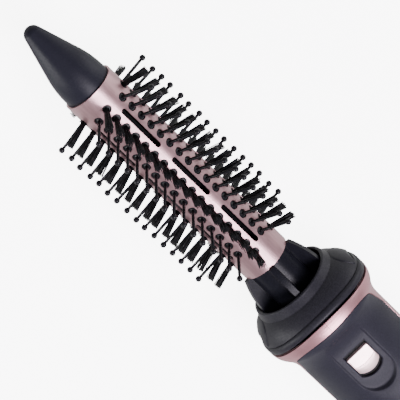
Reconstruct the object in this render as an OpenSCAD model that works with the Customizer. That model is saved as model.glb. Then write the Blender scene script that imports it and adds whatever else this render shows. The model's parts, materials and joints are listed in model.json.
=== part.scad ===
// Hot air brush: a heated-air handle with a push-on thermal round brush.
// X runs along the brush from the cool tip (-X) to the handle's rear end (+X).
// +Z is the control side. The brush lies on the plane Z = 0 with its axis level.
// Inside the modules the axis is the X axis and x = 0 is the barrel's tip end.

/* [Brush head] */
// Outer radius of the barrel
barrel_r = 12.5; // [12.3:0.1:12.7]
// Length of the barrel
barrel_len = 115.6; // [112:0.2:118]
// Wall of the barrel tube
barrel_wall = 0.8; // [0.7:0.05:0.9]
// Radius of the round holes that the bristles come through
hole_r = 2.1; // [1.9:0.05:2.2]
// Distance between neighbouring bristle holes of a row
pitch = 5.976; // [5.9:0.004:6]
// Distance of the first tuft hole from the barrel's tip end
first_tuft = 9.03; // [8.6:0.01:9.4]
// Distance of the first pin hole from the barrel's tip end
first_pin = 11.07; // [10.6:0.01:11.4]
// Angle of a pin row from the tuft row before it
pin_turn = 30.9; // [29:0.1:33]
// Angle of a slot row from the tuft row after it
slot_turn = 20.5; // [19:0.1:22]
// Width of an air slot
slot_w = 2.5; // [2:0.1:3]
// Length of an air slot
slot_len = 24; // [20:0.5:26]
// Distance between neighbouring air slots of a row
slot_pitch = 31.9; // [31:0.1:32]
// Distance of the first slot's middle from the barrel's tip end
first_slot = 26.2; // [25:0.1:27]
// Distance of a pin's ball from the brush axis
pin_reach = 28.5; // [26:0.1:28.6]
// Distance of a tuft's end from the brush axis
tuft_reach = 24.7; // [22:0.1:26]
// Length of the cool tip in front of the barrel
tip_len = 37.7; // [34:0.1:40]

/* [Coupling] */
// Largest radius of the collar and of the handle's front ring
crest_r = 29.4; // [29.2:0.1:29.6]
// Inner radius of the collar's mouth
mouth_r = 18.4; // [18.3:0.05:18.7]
// Outer radius of the spigot that the brush head pushes on to
spigot_r = 16; // [15.9:0.05:16]
// Radial clearance of the push-on fit
push_fit = 0.08; // [0.05:0.01:0.1]
// Gap between the collar band and the handle's ring
joint_gap = 1.1; // [0.8:0.1:1.4]

/* [Handle] */
// Radius of the handle behind the ring
handle_r = 24.4; // [24.2:0.1:24.6]
// Radius of the handle's waist
waist_r = 20.8; // [20.6:0.1:21]
// Radius of the handle's rear end
rear_r = 22; // [21.8:0.1:22.2]
// Length of the handle from the crest of the ring to the end of the rear cap
handle_len = 157; // [156:0.5:158]
// Width of the thumb recess
recess_w = 18.7; // [18:0.1:19]
// Depth of the thumb recess
recess_depth = 2.7; // [2.4:0.1:2.8]
// Width of the release slider's window
window_w = 12.8; // [12.6:0.1:13]
// Travel of the release slider towards the rear
slider_travel = 1.9; // [1.5:0.1:1.9]

/* [Hidden] */

rows = 5;
sector = 360 / rows;
tufts = 17;
pins = 16;
slots = 3;
fine = 96;
far = 200;

bore_r = barrel_r - barrel_wall;
mouth_x = barrel_len + 18.4;
crest_x = barrel_len + 35.9;
cap_x = crest_x + 148;
end_x = crest_x + handle_len;
loop_end_x = end_x + 21;
middle_x = (loop_end_x - tip_len) / 2;

// The joint between head and handle is a saddle, cut by a cylinder that lies across the axis
saddle_r = 73.5;
saddle_x = crest_x - 0.5 - saddle_r;
band_w = 4.7;

// Shoulder behind the ring: two arcs that meet tangentially
crest_arc = 8;
flare_arc = 19.1;
flare_run = sqrt(pow(crest_arc + flare_arc, 2) - pow(crest_arc + flare_arc - crest_r + handle_r, 2));
flare_share = crest_arc / (crest_arc + flare_arc);
bell_arc = 18.5;
bell_x = mouth_x + 2;
waist_from = crest_x + 54;
waist_to = crest_x + 92;
rear_from = crest_x + 128;

// Grip panels: a superellipse corner at each end of a straight edge
grip_thick = 1.5;
grip_edge_z = 5.4;
grip_x = crest_x - 0.5;
grip_end_x = cap_x - 3;
corner_x = 21;
corner_z = 26;
corner_power = 1.7;
corner_steps = 18;

// Thumb recess and window
recess_r = recess_w / 2;
recess_mid_x = crest_x + 32;
window_x = crest_x + 16.9;
window_len = 16.4;
front_gap = 2.15;
rear_gap = slider_travel + 0.2;
button_x = window_x + front_gap;
button_len = window_len - front_gap - rear_gap;
button_w = window_w - 0.8;
floor_z = handle_r - recess_depth;
boat_wall = 1.4;
plate_top = floor_z - boat_wall - 0.4;

// Latch between slider and brush head
pivot_x = crest_x + 1.4;
pivot_z = 20.6;
pin_r = 1;
nose_x = pivot_x + 2.4;
nose_z = 19.9;
tail_end = pivot_x + 5.1;
hook_x = crest_x - 7.2;
sleeve_x = mouth_x + 5;
sleeve_end = crest_x - 1.7;
sleeve_wall = 1.5;
sleeve_r = spigot_r + push_fit;

// Blower and heater
tube_r = 15.8;
tube_x = crest_x + 4;
tube_end = crest_x + 75;
board_w = 24.1;
coil_r = 12.6;
coil_wire = 0.4;
coil_turns = 9;
coil_x = crest_x + 14;
coil_step = 5.6;
fan_x = crest_x + 84;
motor_x = crest_x + 96;
motor_len = 32.8;
motor_r = 13.85;
shaft_r = 1;
switch_x = crest_x + 138;
knob_z = 19.4;

// Screws that hold the housing halves: x and z of each axis, and the depth of the head's seat
screw_at = [[crest_x + 24.5, -18.7, 7], [crest_x + 62, -18.2, 7], [crest_x + 139, -16.6, 4.2]];
screw_r = 1.25;

// ---------- shared shapes ----------

// Turns an outline, drawn as (radius, distance along the axis), round the X axis
module turned() {
    rotate([0, 90, 0]) rotate_extrude($fn = fine) children();
}

// Pushes an outline, drawn as (height, distance along the axis), sideways along Y
module swept(w) {
    rotate([0, -90, -90]) linear_extrude(height = w, center = true) children();
}

// A tube round the X axis
module tube(x, len, outer, inner) {
    turned() translate([inner, x]) square([outer - inner, len]);
}

// A rod along X
module rod(x, len, r) {
    translate([x, 0, 0]) rotate([0, 90, 0]) cylinder(r = r, h = len, $fn = fine);
}

// A box from x to x + len, centred on Y, from z to z + high
module bar(x, len, wide, z, high) {
    translate([x, -wide / 2, z]) cube([len, wide, high]);
}

// Repeats a shape for one sector of the brush
module at_row(row, turn = 0) {
    rotate([sector * row + turn, 0, 0]) children();
}

// Points along an arc, as (radius, distance along the axis), from angle a0 to a1
function arc(r, x, size, a0, a1, n) = [
    for (i = [0:n])
        let (a = a0 + (a1 - a0) * i / n)
        [r + size * cos(a), x + size * sin(a)]
];

// Two tangent arcs that lead from radius ra at xa down to rb at xb
function step_down(xa, ra, xb, rb, share, inset, n) =
    let (
        total = (pow(xb - xa, 2) + pow(ra - rb, 2)) / (2 * (ra - rb)),
        size = share * total,
        rest = total - size,
        lean = asin((xb - xa) / total)
    )
    concat(
        arc(ra - size, xa, size - inset, 0, lean, n),
        arc(rb + rest, xb, rest + inset, 180 + lean, 180, n)
    );

// The same step upwards, towards +X
function step_up(xa, ra, xb, rb, share, inset, n) =
    let (down = step_down(xa, rb, xb, ra, share, inset, n))
    [for (i = [len(down) - 1:-1:0]) [down[i][0], xa + xb - down[i][1]]];

// The bell of the collar and ring, up to the crest
function bell_points(inset) = arc(
    crest_r - bell_arc, crest_x, bell_arc - inset,
    -asin((crest_x - bell_x) / (bell_arc - inset)), 0, 14
);
module bell(inset) {
    polygon(concat([[0, bell_x]], bell_points(inset), [[0, crest_x]]));
}

// Area under the whole handle, from the ring to the rear cap
module handle_outline(inset) {
    polygon(concat(
        [[0, bell_x]],
        [for (p = bell_points(inset)) if (p[1] < crest_x - 0.01) p],
        step_down(crest_x, crest_r, crest_x + flare_run, handle_r, flare_share, inset, 9),
        step_down(waist_from, handle_r, waist_to, waist_r, 0.5, inset, 5),
        step_up(rear_from, waist_r, cap_x, rear_r, 0.5, inset, 4),
        [[0, cap_x]]
    ));
}

// Area under the floor of the thumb recess, which leaves the handle's surface at the crest
module floor_outline(inset) {
    polygon(concat(
        [[0, crest_x - 8], [crest_r + 9, crest_x - 8], [crest_r + 9, crest_x]],
        step_down(crest_x, crest_r, crest_x + flare_run, floor_z, flare_share, inset, 9),
        [[floor_z - inset, waist_from], [0, waist_from]]
    ));
}

// The inside of the housing
module handle_cavity() {
    polygon([
        [0, crest_x - 14], [26, crest_x - 14], [26, crest_x + 3.2],
        [handle_r - 2.8, crest_x + 15], [handle_r - 2.8, waist_from - 2],
        [waist_r - 2.3, waist_to], [waist_r - 2.3, rear_from + 2],
        [rear_r - 2.3, cap_x - 2], [rear_r - 2.3, cap_x + 1], [0, cap_x + 1]
    ]);
}

// The cylinder across the axis that bounds the saddle joint
module saddle(x, r) {
    translate([x, 0, 0]) rotate([90, 0, 0]) cylinder(r = r, h = 80, center = true, $fn = 256);
}

// Side view of a grip panel, as a prism along Y that is larger than the panel by the gap
function corner_curve(x, dir) = [
    for (i = [0:corner_steps])
        let (a = 90 * i / corner_steps)
        [x + dir * corner_x * (1 - pow(sin(a), 2 / corner_power)),
         grip_edge_z + corner_z * (1 - pow(cos(a), 2 / corner_power))]
];
module grip_side(gap) {
    front = [for (p = corner_curve(grip_x, 1)) [p[0] - gap, p[1] - gap]];
    rear = [for (p = corner_curve(grip_end_x, -1)) [p[0] + gap, p[1] - gap]];
    rotate([90, 0, 0]) linear_extrude(height = 80, center = true)
        polygon(concat(front, [for (i = [corner_steps:-1:0]) rear[i]]));
}

// Plan of the thumb recess: open towards the ring, with a round end
module recess_plan(grow) {
    translate([crest_x - 6, -recess_r - grow]) square([recess_mid_x - crest_x + 6, 2 * (recess_r + grow)]);
    translate([recess_mid_x, 0]) circle(r = recess_r + grow, $fn = fine);
}
module recess_prism(grow) {
    translate([0, 0, 12]) linear_extrude(height = 40) recess_plan(grow);
}

// D-shaped plan with its flat end at x and its round end at x + len
module d_plan(x, len, wide, round_r) {
    intersection() {
        translate([x, -wide / 2]) square([len, wide]);
        translate([x + len - round_r, 0]) circle(r = round_r, $fn = fine);
    }
    translate([x, -wide / 2]) square([len - round_r, wide]);
}

// ---------- tube along a helix ----------

function helix_ring(x0, r, wire, step, sides, a) = [
    for (k = [0:sides - 1])
        let (b = 360 * k / sides, rr = r + wire * cos(b))
        [x0 + step * a / 360 + wire * sin(b), rr * cos(a), rr * sin(a)]
];
module helix(x0, r, wire, step, turns, segments, sides) {
    n = turns * segments;
    points = [for (i = [0:n]) each helix_ring(x0, r, wire, step, sides, 360 * i / segments)];
    sides_up = [
        for (i = [0:n - 1], k = [0:sides - 1])
            [i * sides + k, i * sides + (k + 1) % sides,
             (i + 1) * sides + (k + 1) % sides, (i + 1) * sides + k]
    ];
    near_end = [for (k = [sides - 1:-1:0]) k];
    far_end = [for (k = [0:sides - 1]) n * sides + k];
    polyhedron(points = points, faces = concat(sides_up, [near_end, far_end]));
}

// ---------- brush head ----------

// The cap at the brush's end: a rounded point, a long cone and a plug inside the barrel
module cool_tip() {
    apex_r = 4.2;
    apex_x = apex_r - tip_len;
    slope = 14.9;
    shoulder_arc = 46.7;
    base_x = -2;
    base_r = bore_r - 0.25;
    plug_x = 1.2;
    plug_end = 6.8;
    plug_r = bore_r - 0.03;
    color([0.16, 0.16, 0.18]) difference() {
        turned() polygon(concat(
            [[0, apex_x - apex_r]],
            arc(0, apex_x, apex_r, -84, -slope, 10),
            arc(base_r - shoulder_arc, base_x, shoulder_arc, -slope, 0, 8),
            [[base_r, plug_x], [plug_r, plug_x], [plug_r, plug_end], [9.8, plug_end], [9.8, 1],
             [5, 1], [5, plug_end], [0, plug_end]]
        ));
        rod(-9, 17, 1.5);
    }
}

// The screw that pulls the cool tip against the air core
module tip_screw() {
    color("silver") union() {
        rod(-6, 18.4, 1.5);
        difference() {
            rod(12.4, 2.2, 2.9);
            translate([14, -3, -0.35]) cube([1, 6, 0.7]);
        }
    }
}

// The perforated aluminium tube
module barrel() {
    cut_z = bore_r - 1.4;
    color([0.78, 0.64, 0.65]) difference() {
        tube(0, barrel_len, barrel_r, bore_r);
        for (row = [0:rows - 1]) {
            at_row(row) for (i = [0:tufts - 1])
                translate([first_tuft + i * pitch, 0, cut_z]) cylinder(r = hole_r, h = 5, $fn = 32);
            at_row(row, pin_turn) for (i = [0:pins - 1])
                translate([first_pin + i * pitch, 0, cut_z]) cylinder(r = hole_r, h = 5, $fn = 32);
            at_row(row, -slot_turn) for (i = [0:slots - 1]) {
                mid = first_slot + i * slot_pitch;
                run = slot_len - slot_w;
                translate([mid - run / 2, -slot_w / 2, cut_z]) cube([run, slot_w, 5]);
                for (end = [-run / 2, run / 2])
                    translate([mid + end, 0, cut_z]) cylinder(r = slot_w / 2, h = 5, $fn = 32);
            }
        }
    }
}

// The spider inside the barrel: a hollow rod with a web under every bristle strip
module air_core() {
    web = 1.2;
    color([0.1, 0.1, 0.11]) difference() {
        union() {
            rod(7, 101, 4.6);
            for (row = [0:rows - 1]) {
                at_row(row) bar(7, 101, web, 4, 6);
                at_row(row, pin_turn) bar(7, 101, web, 4, 6);
            }
            tube(104.5, 3.5, 10, 8.4);
        }
        rod(6, 7, 1.6);
        rod(12, 98, 3.2);
    }
}

// A strip that lies on the air core, inside the barrel
module strip(turn) {
    wide = 4.8;
    color([0.1, 0.1, 0.11]) intersection() {
        tube(7.2, 100.6, bore_r - 0.1, 10.05);
        rotate([turn, 0, 0]) bar(7, 102, wide, 5, 10);
    }
}

// A rubbery strip with a plug in every pin hole and a ball-ended pin on each plug
module pin_strip(row) {
    pin_rod = 0.55;
    ball = 1.15;
    side_lean = 9.7;
    back_lean = 6.5;
    turn = sector * row + pin_turn;
    foot = 11;
    rise = pin_reach - foot;
    color([0.13, 0.13, 0.14]) union() {
        strip(turn);
        at_row(row, pin_turn) for (i = [0:pins - 1]) translate([first_pin + i * pitch, 0, 0]) {
            translate([0, 0, 10.6]) cylinder(r = hole_r - 0.1, h = barrel_r - 10.7, $fn = 32);
            translate([0, 0, foot]) rotate([-side_lean, back_lean, 0]) {
                cylinder(r = pin_rod, h = rise, $fn = 16);
                translate([0, 0, rise]) sphere(r = ball, $fn = 24);
            }
        }
    }
}

// A strip with a plug in every tuft hole and a tapering tuft on each plug
module tuft_strip(row) {
    root_r = 1.2;
    end_r = 1.8;
    back_lean = 8.3;
    foot = 11;
    color([0.08, 0.08, 0.09]) union() {
        strip(sector * row);
        at_row(row) for (i = [0:tufts - 1]) translate([first_tuft + i * pitch, 0, 0]) {
            translate([0, 0, 10.6]) cylinder(r = hole_r - 0.1, h = barrel_r - 10.7, $fn = 32);
            translate([0, 0, foot]) rotate([0, back_lean, 0])
                cylinder(r1 = root_r, r2 = end_r, h = tuft_reach - foot, $fn = 20);
        }
    }
}

// The neck: an air pipe with a fin behind every tuft row and a flange inside the collar
module neck_cage() {
    pipe_r = 11.4;
    pipe_bore = 9.9;
    fin_w = 2.8;
    fin_r = mouth_r - 0.25;
    fin_arc = 41.5;
    flange_x = sleeve_x - 2;
    flange_r = spigot_r + 1.5;
    color([0.12, 0.12, 0.13]) union() {
        tube(barrel_len - 5.6, 5.6, bore_r - 0.05, pipe_bore);
        tube(barrel_len, flange_x - barrel_len, pipe_r, pipe_bore);
        tube(flange_x, 2, flange_r, pipe_bore);
        for (row = [0:rows - 1]) at_row(row) swept(fin_w) intersection() {
            translate([pipe_bore + 0.5, barrel_len + 0.1]) square([far, flange_x - barrel_len]);
            union() {
                translate([fin_r - fin_arc, mouth_x]) circle(r = fin_arc, $fn = 256);
                translate([0, mouth_x]) square([fin_r, flange_x - mouth_x]);
            }
        }
    }
}

// The sleeve that slides over the spigot, with the window that the latch hooks into
module socket_sleeve() {
    color([0.15, 0.15, 0.16]) difference() {
        tube(sleeve_x, sleeve_end - sleeve_x, sleeve_r + sleeve_wall, sleeve_r);
        bar(hook_x - 1.4, 4.6, 7, 14, 6);
    }
}

// Area of the collar's wall, with the rolled lip of the mouth
module collar_outline() {
    lip_x = mouth_x - 1.4;
    lip_r = (mouth_r + 20.2) / 2;
    shell = 2.2;
    difference() {
        union() {
            bell(0);
            polygon([[0, lip_x], [20.2, lip_x], [21.3, mouth_x + 2], [0, mouth_x + 2]]);
        }
        difference() {
            bell(shell);
            translate([0, mouth_x]) square([far, 2.4]);
        }
        translate([0, lip_x - 5]) square([mouth_r, 20]);
    }
    translate([lip_r, lip_x]) circle(r = lip_r - mouth_r, $fn = 48);
}

// Side view of the finger tab, as a prism along Y on one side of the axis
module tab_side(side, gap) {
    tab_r = 8.7 + gap;
    tab_x = mouth_x + 2.3 - gap;
    tab_end = crest_x - 5.5 - band_w / 4 + gap;
    translate([0, side * 20, 0]) rotate([90, 0, 0]) linear_extrude(height = 40, center = true)
        intersection() {
            translate([tab_x, -tab_r]) square([tab_end - tab_x, 2 * tab_r]);
            translate([tab_x + 10 + gap, 0]) circle(r = 10 + gap, $fn = fine);
        }
}

// The funnel round the neck, joined to the sleeve by a web
module collar() {
    web_x = sleeve_x + 0.2;
    color([0.17, 0.17, 0.19]) difference() {
        union() {
            intersection() {
                turned() collar_outline();
                saddle(saddle_x - band_w, saddle_r);
            }
            tube(web_x, 1.8, 23.4, sleeve_r + sleeve_wall + 0.02);
        }
        for (side = [-1, 1]) intersection() {
            tab_side(side, 0.1);
            turned() difference() {
                bell(-2);
                bell(1.1);
            }
        }
    }
}

// The rounded band behind the collar's crease, which meets the handle's ring
module collar_band() {
    shell = 2.6;
    color([0.17, 0.17, 0.19]) intersection() {
        difference() {
            turned() difference() {
                bell(-0.15);
                bell(shell);
                translate([0, mouth_x]) square([22, 30]);
            }
            saddle(saddle_x - band_w + 0.05, saddle_r);
        }
        saddle(saddle_x, saddle_r - joint_gap / 2);
        rod(mouth_x, crest_x - mouth_x, crest_r);
    }
}

// A finger tab, slightly proud of the collar
module collar_tab(side) {
    color([0.2, 0.2, 0.22]) intersection() {
        tab_side(side, 0);
        turned() difference() {
            bell(-0.3);
            bell(1);
        }
    }
}

// ---------- handle ----------

// Both housing halves in one: the ring, the shoulder, the pockets of the grips and the openings
module housing() {
    difference() {
        turned() difference() {
            handle_outline(0);
            handle_cavity();
        }
        saddle(saddle_x, saddle_r + joint_gap / 2);
        for (flip = [0, 180]) rotate([flip, 0, 0]) intersection() {
            grip_side(0.12);
            turned() difference() {
                handle_outline(-3);
                handle_outline(grip_thick + 0.05);
            }
        }
        difference() {
            recess_prism(boat_wall + 0.15);
            swept(80) floor_outline(boat_wall + 0.15);
            translate([-far, -far, -far]) cube([far + grip_x + 2.5, 2 * far, 2 * far]);
        }
        bar(switch_x - 8, 16, 7.6, 10, 20);
    }
}

// A tube round a screw axis, along Y from y0 to y1
module post(at, y0, y1, r) {
    translate([at[0], y1, at[1]]) rotate([90, 0, 0]) cylinder(r = r, h = y1 - y0, $fn = 32);
}

// One half of the housing. The left half has the pilot holes, the right half the screw heads
module housing_half(side) {
    post_r = 2.3;
    color([0.78, 0.64, 0.65]) difference() {
        union() {
            intersection() {
                housing();
                translate([0, side * 40, 0]) cube([1000, 79.9, 100], center = true);
            }
            for (at = screw_at) intersection() {
                post(at, side > 0 ? 0.05 : -16, side > 0 ? 16 : -0.05, post_r);
                turned() handle_outline(grip_thick + 0.1);
            }
        }
        for (at = screw_at) {
            if (side > 0) post(at, -1, 9, screw_r);
            if (side < 0) post(at, -30, 1, screw_r + 0.15);
            if (side < 0) post(at, -30, -at[2], screw_r + 1.2);
        }
    }
}

module housing_left() {
    housing_half(1);
}

module housing_right() {
    housing_half(-1);
}

// The soft-touch panel on the control side, with the thumb recess and the window
module front_grip() {
    color([0.19, 0.19, 0.21]) difference() {
        union() {
            intersection() {
                turned() difference() {
                    handle_outline(0);
                    handle_outline(grip_thick);
                }
                grip_side(0);
            }
            intersection() {
                difference() {
                    turned() handle_outline(0.6);
                    swept(80) floor_outline(boat_wall);
                }
                recess_prism(boat_wall);
                translate([grip_x + 2.6, -20, 0]) cube([60, 40, 40]);
            }
        }
        difference() {
            recess_prism(0);
            swept(80) floor_outline(0);
        }
        translate([0, 0, 12]) linear_extrude(height = 40) d_plan(window_x, window_len, window_w, 8.2);
        bar(switch_x - 7, 14, 6.4, 10, 20);
    }
}

// The matching panel on the back
module rear_grip() {
    color([0.19, 0.19, 0.21]) rotate([180, 0, 0]) intersection() {
        turned() difference() {
            handle_outline(0);
            handle_outline(grip_thick);
        }
        grip_side(0);
    }
}

// The D-shaped button on its sliding plate, with the arm that works the latch
module release_slider() {
    plate_x = window_x - 2.6;
    plate_len = window_len + 6.4;
    plate_thick = 1.4;
    arm_x = tail_end + 0.4;
    bridge_z = 20.6;
    color([0.93, 0.78, 0.78]) union() {
        translate([0, 0, plate_top - 0.5]) linear_extrude(height = floor_z - plate_top + 0.9)
            d_plan(button_x, button_len, button_w, 7.7);
        bar(plate_x, plate_len, 15.6, plate_top - plate_thick, plate_thick);
        bar(arm_x, plate_x - arm_x + 0.5, 4, plate_top - plate_thick, plate_thick);
        bar(arm_x, 1.2, 4, plate_top - plate_thick, bridge_z - plate_top + plate_thick + 0.6);
        bar(nose_x, arm_x - nose_x + 0.5, 4, bridge_z, 0.6);
        bar(nose_x, 0.6, 4, nose_z, bridge_z - nose_z + 0.2);
        bar(button_x + 4, 1.2, 3, plate_top - plate_thick - 1, 1.2);
    }
}

// The tray that the slider's plate runs in
module slider_frame() {
    tray_x = window_x - 4;
    tray_len = window_len + 12;
    color([0.3, 0.3, 0.32]) difference() {
        bar(tray_x, tray_len, 17.4, tube_r + 0.15, plate_top - tube_r - 0.35);
        bar(tray_x - 1, tray_len - 1, 16.2, tube_r + 1.05, 10);
    }
}

// The compression spring behind the slider's lug
module slider_spring() {
    turns = 8;
    spring_r = 0.6;
    wire = 0.14;
    spring_x = button_x + 5.35;
    spring_len = window_x + window_len + 5.95 - spring_x;
    color("silver") translate([0, 0, tube_r + 1.86])
        helix(spring_x, spring_r, wire, (spring_len - 2 * wire) / turns, turns, 12, 6);
}

// The see-saw lever that hooks into the sleeve
module latch_lever() {
    lever_w = 4.4;
    ramp_x = nose_x + 0.6;
    ramp_z = nose_z - 0.15;
    color("silver") difference() {
        union() {
            bar(hook_x + 0.2, pivot_x - hook_x, lever_w, pivot_z - 1.5, 1.3);
            bar(hook_x, 1.8, lever_w, sleeve_r + 0.5, pivot_z - sleeve_r - 0.7);
            swept(lever_w) polygon([
                [pivot_z - 1.7, pivot_x], [ramp_z, pivot_x], [ramp_z, ramp_x],
                [ramp_z + 0.34 * (tail_end - ramp_x), tail_end], [pivot_z - 1.7, tail_end]
            ]);
            translate([pivot_x, lever_w / 2, pivot_z]) rotate([90, 0, 0])
                cylinder(r = 1.9, h = lever_w, $fn = 32);
        }
        translate([pivot_x, 10, pivot_z]) rotate([90, 0, 0]) cylinder(r = pin_r + 0.05, h = 20, $fn = 32);
    }
}

// The pin that the latch lever turns on
module latch_pin() {
    color("silver") translate([pivot_x, 4.6, pivot_z]) rotate([90, 0, 0])
        cylinder(r = pin_r, h = 9.2, $fn = 32);
}

// The outlet pipe that the brush head pushes on to, with its flange and the latch's ears
module spigot() {
    spigot_bore = 14.4;
    flange_x = crest_x + 0.9;
    color([0.24, 0.24, 0.26]) difference() {
        union() {
            tube(sleeve_x + 1.5, flange_x - sleeve_x - 1.5, spigot_r, spigot_bore);
            tube(flange_x, 2, 25.9, spigot_bore);
            tube(flange_x, 7.5, tube_r + 1.2, tube_r + 0.05);
            for (side = [-1, 1]) translate([0, side * 3.7, 0])
                bar(flange_x - 2.4, 5.4, 1.8, spigot_r + 1.9, 5.6);
        }
        bar(flange_x - 3, 9, 5.2, spigot_r + 1.8, 20);
        translate([pivot_x, 10, pivot_z]) rotate([90, 0, 0]) cylinder(r = pin_r, h = 20, $fn = 32);
    }
}

// The finger guard in the outlet
module outlet_grille() {
    color([0.24, 0.24, 0.26]) intersection() {
        union() {
            tube(sleeve_x + 2, 2, 14.35, 13);
            tube(sleeve_x + 2, 2, 9.4, 8.4);
            tube(sleeve_x + 2, 2, 4.6, 3.6);
            for (a = [0:60:120]) rotate([a, 0, 0]) bar(sleeve_x + 2, 2, 28, -0.5, 1);
        }
        rod(sleeve_x, 8, 14.35);
    }
}

module heater_tube() {
    color([0.75, 0.7, 0.6]) tube(tube_x, tube_end - tube_x, tube_r, tube_r - 0.6);
}

// Two crossed mica boards
module heater_frame() {
    board = 0.8;
    board_x = coil_x - 6;
    board_len = coil_turns * coil_step + 14;
    color([0.72, 0.66, 0.52]) union() {
        bar(board_x, board_len, board, -board_w / 2, board_w);
        bar(board_x, board_len, board_w, -board / 2, board);
        for (a = [0:90:270]) rotate([a, 0, 0]) bar(board_x + board_len - 4, 4, board, 11, tube_r - 11.75);
    }
}

module heater_coils() {
    color([0.55, 0.55, 0.56]) helix(coil_x, coil_r, coil_wire, coil_step, coil_turns, 20, 6);
}

module thermal_cutout() {
    color("silver") translate([coil_x + 20, 1.2, 1.2]) union() {
        cube([9, 5.4, 4.2]);
        translate([9, 1, 1]) cube([3, 3.4, 0.5]);
    }
}

module thermal_fuse() {
    color([0.85, 0.8, 0.6]) translate([coil_x + 18, -3.6, -3.6]) union() {
        rotate([0, 90, 0]) cylinder(r = 1.9, h = 10, $fn = 32);
        translate([-6, 0, 0]) rotate([0, 90, 0]) cylinder(r = 0.35, h = 22, $fn = 16);
    }
}

// The duct that leads air from the fan into the heater tube
module air_duct() {
    color([0.24, 0.24, 0.26]) turned() polygon([
        [tube_r + 0.05, tube_end - 4], [tube_r + 1.2, tube_end - 4], [tube_r + 1.2, tube_end],
        [18.4, tube_end + 5], [18.4, motor_x - 2], [17.6, motor_x - 2], [17.6, tube_end + 5],
        [tube_r + 0.05, tube_end + 0.5]
    ]);
}

// Axial fan
module impeller() {
    blades = 7;
    color([0.85, 0.85, 0.83]) difference() {
        union() {
            rod(fan_x, 9.5, 6.5);
            turned() translate([0, fan_x]) intersection() {
                circle(r = 6.5, $fn = 64);
                translate([0, -6.5]) square([6.5, 6.5]);
            }
            for (i = [0:blades - 1]) rotate([360 * i / blades, 0, 0])
                intersection() {
                    translate([fan_x + 4.75, 0, 0]) rotate([0, 0, 38]) bar(-7, 14, 1, 5.5, 20);
                    rod(fan_x + 0.5, 8.5, 17);
                }
        }
        rod(fan_x - 1, 12, shaft_r);
    }
}

module motor_shaft() {
    color("silver") rod(fan_x - 1, 40, shaft_r);
}

module motor() {
    color([0.6, 0.6, 0.62]) difference() {
        union() {
            rod(motor_x, motor_len, motor_r);
            rod(motor_x - 1.6, 2, 5);
            rod(motor_x + motor_len - 0.1, 2.5, 5);
            for (side = [-1, 1]) translate([0, side * 8, 0])
                bar(motor_x + motor_len - 0.1, 4.5, 0.6, -1.6, 3.2);
        }
        rod(motor_x - 3, 34, shaft_r + 0.05);
    }
}

// The ring and straightening vanes that hold the motor
module motor_mount() {
    vanes = 6;
    color([0.24, 0.24, 0.26]) union() {
        tube(motor_x + 1, 14, motor_r + 1.2, motor_r);
        for (i = [0:vanes - 1]) rotate([360 * i / vanes, 0, 0])
            bar(motor_x + 1, 14, 1.2, motor_r + 0.9, waist_r - 2.35 - motor_r - 0.95);
    }
}

module circuit_board() {
    board_z = 8;
    color([0.25, 0.42, 0.3]) union() {
        bar(switch_x - 7, 15, 26, board_z, 1.5);
        for (y = [-8, 8]) translate([0, y, 0]) bar(switch_x - 3, 5, 4, board_z + 1.4, 3);
    }
}

// The slide switch's body
module mode_switch() {
    color([0.2, 0.2, 0.22]) difference() {
        bar(switch_x - 6, 12, 7, 9.5, 5.5);
        bar(switch_x - 4.6, 9.2, 3.4, 12, 10);
    }
}

// The knob that slides between off and the two heat settings
module switch_knob() {
    color([0.93, 0.78, 0.78]) union() {
        bar(switch_x - 1, 2, 2.6, 12.5, knob_z - 12.5);
        bar(switch_x - 3.2, 6.4, 5.6, knob_z - 1, 2.6);
        for (dx = [-1.8, 0, 1.8]) bar(switch_x + dx - 0.3, 0.6, 5.6, knob_z + 1.5, 0.6);
    }
}

// The cap over the rear end, with air slots all round
module rear_cap() {
    slots_round = 20;
    edge_r = 4;
    color([0.17, 0.17, 0.19]) difference() {
        turned() difference() {
            union() {
                translate([0, cap_x]) square([rear_r, end_x - cap_x - edge_r]);
                translate([0, cap_x]) square([rear_r - edge_r, end_x - cap_x]);
                translate([rear_r - edge_r, end_x - edge_r]) circle(r = edge_r, $fn = 64);
            }
            translate([0, cap_x - 1]) square([rear_r - 2.1, end_x - cap_x - 1.2]);
        }
        for (i = [0:slots_round - 1]) rotate([360 * (i + 0.5) / slots_round, 0, 0])
            bar(end_x - 4, 6, 1.6, 9, 7.5);
        rod(cap_x, 20, 5.8);
    }
}

// The perforated disc that keeps hair out of the fan
module dust_filter() {
    disc_x = cap_x + 2;
    color([0.5, 0.5, 0.52]) difference() {
        rod(disc_x, 1, rear_r - 2.2);
        rod(disc_x - 1, 3, 6.2);
        for (ring = [0:2], i = [0:17 + 6 * ring]) rotate([360 * i / (18 + 6 * ring), 0, 0])
            translate([disc_x - 1, 0, 9 + 3.4 * ring]) rotate([0, 90, 0]) cylinder(r = 0.9, h = 3, $fn = 16);
    }
}

// The bush in the rear cap that the mains lead enters through
module cord_gland() {
    color([0.1, 0.1, 0.11]) turned() difference() {
        union() {
            translate([3.75, cap_x + 3.5]) square([3.65, end_x - cap_x - 5.7]);
            translate([3.75, cap_x + 3.5]) square([2, end_x - cap_x + 0.5]);
            translate([3.75, end_x + 4]) square([3, 1.6]);
        }
    }
}

// The loop that turns on the gland
module hanging_loop() {
    loop_w = 3;
    ring_x = end_x + 0.5;
    eye_x = end_x + 12.5;
    eye_z = -13;
    color([0.12, 0.12, 0.13]) difference() {
        union() {
            tube(ring_x, 3, 8.6, 5.82);
            translate([eye_x, loop_w / 2, eye_z]) rotate([90, 0, 0]) cylinder(r = 8.4, h = loop_w, $fn = 64);
            bar(ring_x, 6, loop_w, eye_z - 5, 11);
        }
        rod(ring_x - 1, 30, 5.82);
        translate([eye_x, 10, eye_z]) rotate([90, 0, 0]) cylinder(r = 5.2, h = 20, $fn = 64);
    }
}

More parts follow.
